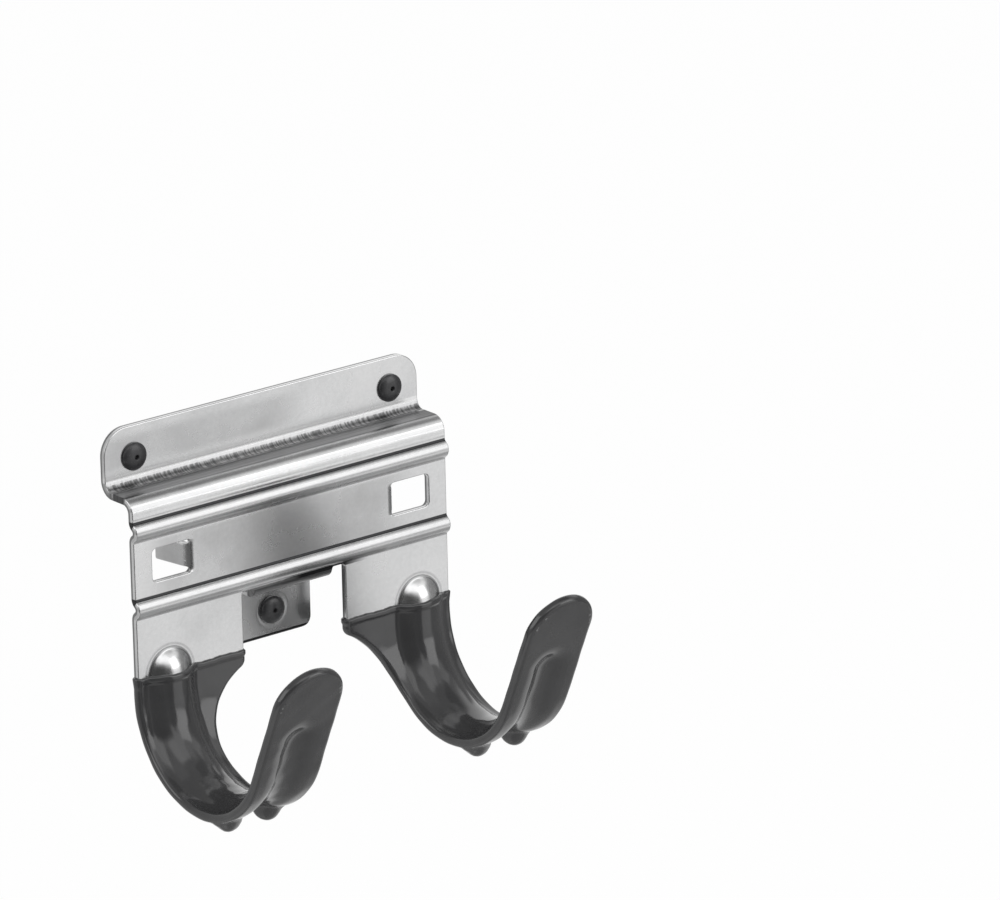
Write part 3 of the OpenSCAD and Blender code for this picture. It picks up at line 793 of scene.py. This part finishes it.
# Materials
def zinc():
    """Zinc plating: soft mottling, drawn lines and the marks of the press, with painted shade and dark
    reflection in places and a painted highlight on the flange's bend.
    """
    mat = bpy.data.materials.new("zinc_plated_steel")
    t = Nodes(mat)
    uv = t.add("ShaderNodeUVMap", uv_map="sheet").outputs["UV"]
    obj = t.add("ShaderNodeTexCoord").outputs["Object"]
    place = t.add("ShaderNodeSeparateXYZ", Vector=uv).outputs
    # places in millimetres: x from the middle, and s along the sheet
    x = t.scaled(place["X"], UV_SPAN, -UV_ORIGIN[0])
    s = t.math("SUBTRACT", t.times(place["Y"], UV_SPAN), UV_ORIGIN[1])
    cloud, broad = t.noise(obj, 48.0, 5.0, 0.6), t.noise(obj, 17.0, 2.0, 0.5)
    speck = t.noise(obj, 1000.0, 2.0, 0.6)
    streak = t.noise(t.stretched(uv, 3.5, 300.0, 0.015), 1.0, 2.0, 0.6)
    across = t.noise(t.stretched(uv, 330.0, 20.0, 0.30), 1.0, 2.0, 0.5, 0.4)
    patches = t.noise(t.stretched(uv, 22.0, 6.0), 1.0, 2.0, 0.5)
    marks_and_painted_shade = t.largest(press_marks_and_painted_shade(t, x, s, across, streak), hook_and_tab_marks_and_shade(t, x, s, cloud, streak),
                     mottling_and_dark_reflection(t, x, s, cloud), torn_edge(t))
    tone = t.ramp(t.scaled(broad, 0.45, t.times(cloud, 0.55)), (0.38, (0.68, 0.682, 0.685)),
                  (0.50, (0.79, 0.792, 0.795)), (0.62, grey(0.86)))
    # painted highlight: a lighter base colour along the top of the flange's bend
    painted_bend_highlight = t.window(s, S_SHELF0 - 0.5, S_SHELF0 + 0.3, 0.4)
    colour = t.mix(tone, (*grey(0.93), 1), painted_bend_highlight)
    colour = t.mix(colour, t.ramp(speck, (0.34, grey(0.955)), (0.66, grey(1))), 1.0, "MULTIPLY")
    # the marks, the painted shade and the painted reflection darken the base colour
    colour = t.mix(colour, (0.04, 0.04, 0.042, 1), marks_and_painted_shade, "MULTIPLY")
    rough = t.scaled(marks_and_painted_shade, 0.10, t.scaled(cloud, 0.14, 0.19))
    relief = zinc_relief(t, uv, s, across, patches)
    t.put(t.nodes["Principled BSDF"],
          {"Base Color": colour, "Metallic": 1.0, "Roughness": rough, "Normal": relief})
    return mat


def both_beads(t, s, lo, hi, soft):
    """A window on each bead, at places counted from the bead's end."""
    return t.largest(*[t.window(s, end + lo, end + hi, soft) for end in (S_MID, S_LEG)])


def press_marks_and_painted_shade(t, x, s, across, streak):
    """Dull marks and painted shade: strokes on the shelf, a painted dark reflection streaked along the shelf,
    painted shade along the upper foot of each bead, painted shade over the highlights of the beads and bends,
    and a smear.
    """
    stroke = t.ramp(across, (0.42, grey(0)), (0.56, grey(1)))
    worn = t.times(t.window(s, S_SHELF0 + 1.9, S_SHELF0 + 5.4, 0.4), t.scaled(stroke, 0.36, 0.40))
    on_shelf = t.window(s, S_SHELF0 + 6.2, S_SHELF1 - 4.3, 0.8)
    # painted dark reflection on the shelf's top, streaked along the sheet
    shelf_reflection_streaks = t.times(on_shelf, t.scaled(streak, 0.4, 0.76, clamp=True))
    # painted shade: a dark line along the upper concave foot of each bead
    bead_foot_shade = both_beads(t, s, -BEAD_L + 0.2, -BEAD_L + 1.6, 0.35)
    # painted shade that tones down the highlights on the beads and the shelf's two bends
    highlight_toning_shade = t.largest(
        t.times(both_beads(t, s, -4.2, -3.7, 0.4), 0.34),
        t.times(both_beads(t, s, -3.0, -0.7, 0.4), 0.22),
        t.times(t.window(s, S_SHELF1 - 1.4, S_SHELF1 - 0.9, 0.3), 0.32),
        t.times(t.window(s, S_SHELF0 + 0.9, S_SHELF0 + 2.2, 0.4), 0.42))
    smear = t.times(t.window(s, S_LEG - 1.0, S_NOTCH + 0.3, 0.3), t.window(x, 3, 15, 10))
    return t.largest(worn, t.times(shelf_reflection_streaks, 0.92), t.times(bead_foot_shade, 0.98), highlight_toning_shade, smear)


def hook_and_tab_marks_and_shade(t, x, s, cloud, streak):
    """Dull marks and painted shade: two darker bands circling the top of each rib, the inner one painted
    shade in the rib's concave foot, and on the lower tab a painted dark reflection broken into mottling,
    painted shade on its rolled lower edge and dark streaks on its upper bend.
    """
    off_x = t.math("SUBTRACT", t.math("ABSOLUTE", x), HOOK_X)
    off_s = t.math("MINIMUM", t.math("SUBTRACT", s, S_DOME), 0.0)
    rho = t.math("SQRT", t.math("ADD", t.times(off_x, off_x), t.times(off_s, off_s)))
    # painted shade in each rib's concave foot, and a faint darker ring just outside the rib
    rib_rings_and_foot_shade = t.largest(
        t.times(t.window(rho, RIB_W / 2 + 0.55, RIB_W / 2 + 0.75, 0.4), 0.24),
        t.times(t.window(rho, RIB_W / 2 - 1.0, RIB_W / 2 - 0.1, 0.3), 0.55))
    on_leg = t.window(s, S_LEG, UV_SPAN, 0.5)
    on_tab = t.times(t.window(x, -16.2, 16.2, 0.4), t.window(s, S_NOTCH - 0.2, S_TAB_END + 1.0, 0.4))
    # painted shade on the tab's rolled lower edge, and dark streaks on its upper bend
    tab_edge_shade_and_streaks = t.largest(
        t.window(s, S_TAB_END - 1.0, S_TAB_END + 1.0, 0.3),
        t.times(t.window(s, S_NOTCH - 0.2, S_NOTCH + 3.4, 0.5), t.scaled(streak, 0.9, 0.35, clamp=True)))
    # painted dark reflection on the lower tab, broken into mottling
    tab_mottling_and_reflection = t.scaled(cloud, 0.8, -0.16, clamp=True)
    return t.largest(t.times(rib_rings_and_foot_shade, on_leg), t.times(on_tab, t.largest(tab_mottling_and_reflection, tab_edge_shade_and_streaks)))


def mottling_and_dark_reflection(t, x, s, cloud):
    """Faint darker mottling on the flange and between the beads: painted dark reflection broken into patches.
    """
    on_flange = t.times(t.window(s, 4.0, 9.2, 3.0), t.window(x, -44, 2, 14))
    on_plate = t.times(t.window(s, S_MID + 0.8, S_LEG - BEAD_L - 0.4, 1.0), t.window(x, -36, 30, 12))
    return t.times(t.largest(on_flange, on_plate), t.scaled(cloud, 0.9, -0.24, clamp=True))


def torn_edge(t):
    """The rear half of a sheared edge is torn and dull."""
    uv = t.add("ShaderNodeUVMap", uv_map="rim").outputs["UV"]
    rim = t.add("ShaderNodeSeparateXYZ", Vector=uv).outputs
    return t.times(rim["Y"], t.window(rim["X"], 0.0, 0.42, 0.12), 0.68)


def zinc_relief(t, uv, s, across, patches):
    """Drawn lines along the sheet, a ridge under the shelf's front bend, and strokes in its inner bend."""
    along = t.noise(t.stretched(uv, 5.0, 520.0, 0.012), 1.0, 3.0, 0.6)
    drawn = t.window(s, S_SHELF1 - 1.8, S_SHELF1 + 1.8, 0.6)
    lines_h = t.times(along, t.scaled(drawn, 0.92, 0.08))
    ridge = t.window(s, S_SHELF1 + 0.9, S_SHELF1 + 1.0, 0.5)
    ridge = t.times(ridge, t.scaled(patches, 1.6, -0.2, clamp=True))
    gall = t.window(s, S_SHELF0 + 1.3, S_SHELF0 + 4.6, 0.7)
    gall = t.times(gall, t.scaled(patches, 2.0, 0.1, clamp=True))
    fine = t.bump(t.scaled(ridge, 2.2, lines_h), 0.30, 0.00010)
    return t.bump(t.times(across, gall), 1.0, 0.00008, Normal=fine)


def vinyl():
    """Dark grey dipped coating with a faint orange peel."""
    mat = bpy.data.materials.new("dipped_vinyl")
    t = Nodes(mat)
    obj = t.add("ShaderNodeTexCoord").outputs["Object"]
    cloud, grain = t.noise(obj, 90.0, 3.0, 0.5), t.noise(obj, 2600.0, 1.0, 0.5)
    colour = t.ramp(cloud, (0.3, (0.031, 0.031, 0.032)), (0.7, (0.040, 0.040, 0.041)))
    rough = t.scaled(grain, 0.04, t.scaled(cloud, 0.10, 0.07))
    peel = t.bump(t.noise(obj, 420.0, 2.0, 0.4), 0.10, 0.00010)
    relief = t.bump(grain, 0.06, 0.00003, Normal=peel)
    t.put(t.nodes["Principled BSDF"],
          {"Base Color": colour, "Roughness": rough, "IOR": 1.62, "Normal": relief})
    return mat


def moulding():
    """Nearly black moulded plastic with a fine grain."""
    mat = bpy.data.materials.new("moulded_bush")
    t = Nodes(mat)
    obj = t.add("ShaderNodeTexCoord").outputs["Object"]
    grain = t.noise(obj, 3200.0, 1.0, 0.5)
    colour = t.ramp(t.noise(obj, 300.0, 3.0, 0.5), (0.3, (0.020, 0.020, 0.021)), (0.7, (0.034, 0.034, 0.036)))
    rough, relief = t.scaled(grain, 0.08, 0.22), t.bump(grain, 0.08, 0.00003)
    t.put(t.nodes["Principled BSDF"], {"Base Color": colour, "Roughness": rough, "Normal": relief})
    return mat


# The pieces
zinc_mat, vinyl_mat, bush_mat = zinc(), vinyl(), moulding()
bracket = make_bracket()
bracket.data.materials.append(zinc_mat)
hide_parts("bracket")
pieces = [bracket]
for name, side in (("left", -1), ("right", 1)):
    coat = make_coating(name + "_dipped_coat", side)
    coat.data.materials.append(vinyl_mat)
    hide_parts(name + "_hook_coating")
    pieces.append(coat)
BUSHES = (
    # name, place and first facet's angle
    ("upper_left", (-HOLE_PITCH / 2, 0, 0), 0.1),
    ("upper_right", (HOLE_PITCH / 2, 0, 0), 0.7),
    ("lower", (0, -TAB_STANDOFF, -LOWER_HOLE_DROP), 1.2),
)
for name, place, spin in BUSHES:
    bush = make_bush(name + "_moulded_bush", place, spin)
    bush.data.materials.append(bush_mat)
    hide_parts(name + "_bush")
    pieces.append(bush)
for piece in pieces:
    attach(piece, "root")

# The camera: its direction and roll, its aim to the right, up and in height, and its distance, in millimetres
AZIMUTH, ELEVATION, ROLL = math.radians(-38.35), math.radians(18.61), math.radians(-1.28)
AIM_RIGHT, AIM_UP, AIM_Z, DISTANCE = 61.41, -8.81, -0.29, 2165.87
LENS, SENSOR = 306.0, 36.0


def place_camera():
    """The camera at the photograph's viewing angle, fitted to its edges."""
    back = Vector((math.sin(AZIMUTH) * math.cos(ELEVATION), -math.cos(AZIMUTH) * math.cos(ELEVATION),
                   math.sin(ELEVATION)))
    right = Vector((math.cos(AZIMUTH), math.sin(AZIMUTH), 0))
    up = back.cross(right)
    target = right * AIM_RIGHT + up * AIM_UP + Vector((0, 0, AIM_Z))
    cam_x = right * math.cos(ROLL) + up * math.sin(ROLL)
    cam_y = up * math.cos(ROLL) - right * math.sin(ROLL)
    turned = Matrix((cam_x, cam_y, back)).transposed().to_4x4()
    cam = bpy.data.objects.new("camera", bpy.data.cameras.new("camera"))
    bpy.context.scene.collection.objects.link(cam)
    cam.matrix_world = Matrix.Translation((target + back * DISTANCE) * MM) @ turned
    cam.data.lens, cam.data.sensor_width = LENS, SENSOR
    cam.data.clip_start, cam.data.clip_end = 0.05, 60.0
    bpy.context.scene.camera = cam


place_camera()

# The studio that the metal and the coating reflect, in degrees. Azimuth 0 is the front, 90 the right.
STUDIO = [
    # azimuth from, to, height from, to, softness, level
    (-200, 200, -95, -22, 8, 8, 0.46),     # table
    (-150, -60, -95, -24, 20, 8, 0.80),    # table under the left light
    (100, 200, -50, 42, 12, 8, 1.0),       # backdrop
    (80, 140, -56, -14, 8, 8, 0.85),
    (-200, -132, -40, 42, 12, 8, 0.60),
    (-125, -78, 3, 38, 3, 3, 1.8),         # left light
    (-75, -8, -24, 28, 6, 4, 0.05),        # dark front around the camera
    (-95, -25, 42, 72, 8, 6, 0.60),        # ceiling lit on the left
    (-44, -6, 34, 68, 6, 5, 1.4),          # high light
    (-14, 22, 26, 66, 5, 5, 1.25),
    (22, 50, 38, 62, 6, 5, 0.80),
    (8, 52, -27, 1, 5, 5, 0.90),
    (13, 49, 3, 39, 2, 2, 2.1),            # key light
    (50, 122, -30, 25, 4, 4, 0.24),
    (50, 80, 29, 50, 3, 3, 0.9),           # strip light
    (64, 135, 51, 80, 5, 3, 0.14),         # dark ceiling
]
# Levels of the room between the patches, and of the light that falls on matt surfaces
ROOM_LEVEL, SOFT_LEVEL = 0.40, 0.70


def make_world():
    """White to the camera, the studio's patches to reflections, and an even soft light to the rest."""
    world = bpy.data.worlds.new("studio")
    bpy.context.scene.world = world
    t = Nodes(world)
    t.nodes.clear()
    toward = t.add("ShaderNodeTexCoord").outputs["Generated"]
    x, y, z = t.add("ShaderNodeSeparateXYZ", Vector=toward).outputs
    azimuth = t.times(t.math("ARCTAN2", x, t.times(y, -1.0)), 180 / math.pi)
    height = t.times(t.math("ARCSINE", z), 180 / math.pi)
    level = ROOM_LEVEL
    for a0, a1, h0, h1, soft_a, soft_h, value in STUDIO:
        mask = t.times(t.window(azimuth, a0 + soft_a, a1 - soft_a, 2 * soft_a),
                       t.window(height, h0 + soft_h, h1 - soft_h, 2 * soft_h))
        level = t.scaled(mask, t.math("SUBTRACT", value, level), level)
    room, soft, white = [t.add("ShaderNodeBackground", Color=(1, 1, 1, 1), Strength=strength).outputs[0]
                         for strength in (level, SOFT_LEVEL, 1.0)]
    ray = t.add("ShaderNodeLightPath").outputs
    lit = t.mix_shader(ray["Is Glossy Ray"], soft, room)
    t.add("ShaderNodeOutputWorld", Surface=t.mix_shader(ray["Is Camera Ray"], lit, white))


def make_floor(half=6, z=-0.42):
    """A pale floor that is nearly white to the camera and keeps out of reflections, in metres."""
    mesh = bpy.data.meshes.new("floor")
    corners = [(-half, -half, z), (half, -half, z), (half, half, z), (-half, half, z)]
    mesh.from_pydata(corners, [], [(0, 1, 2, 3)])
    floor = bpy.data.objects.new("floor", mesh)
    bpy.context.scene.collection.objects.link(floor)
    mat = bpy.data.materials.new("floor")
    t = Nodes(mat)
    t.nodes.clear()
    seen = t.times(t.add("ShaderNodeLightPath").outputs["Is Camera Ray"], 0.97)
    pale = t.add("ShaderNodeBsdfDiffuse", Color=(*grey(0.82), 1)).outputs[0]
    bright = t.add("ShaderNodeEmission").outputs[0]
    t.add("ShaderNodeOutputMaterial", Surface=t.mix_shader(seen, pale, bright))
    mesh.materials.append(mat)
    floor.visible_glossy = False


def lamp(name, place, size, power, size_y=None):
    """A soft area lamp that faces the object's middle, in metres, and keeps out of reflections."""
    centre = Vector((0, -0.03, -0.04))
    data = bpy.data.lights.new(name, "AREA")
    data.energy, data.size = power, size
    if size_y:
        data.shape, data.size_y = "RECTANGLE", size_y
    obj = bpy.data.objects.new(name, data)
    bpy.context.scene.collection.objects.link(obj)
    obj.location = place
    obj.rotation_mode = "QUATERNION"
    obj.rotation_quaternion = (centre - Vector(place)).to_track_quat("-Z", "Y")
    obj.visible_glossy = False


make_world()
make_floor()
lamp("key", (0.62, -1.15, 0.45), 0.7, 7.0, 0.5)
lamp("left_fill", (-1.2, -0.1, 0.35), 0.5, 3.0)
lamp("high", (0.1, -0.7, 1.0), 0.8, 4.0, 0.4)

bpy.context.scene.view_settings.view_transform = "Standard"
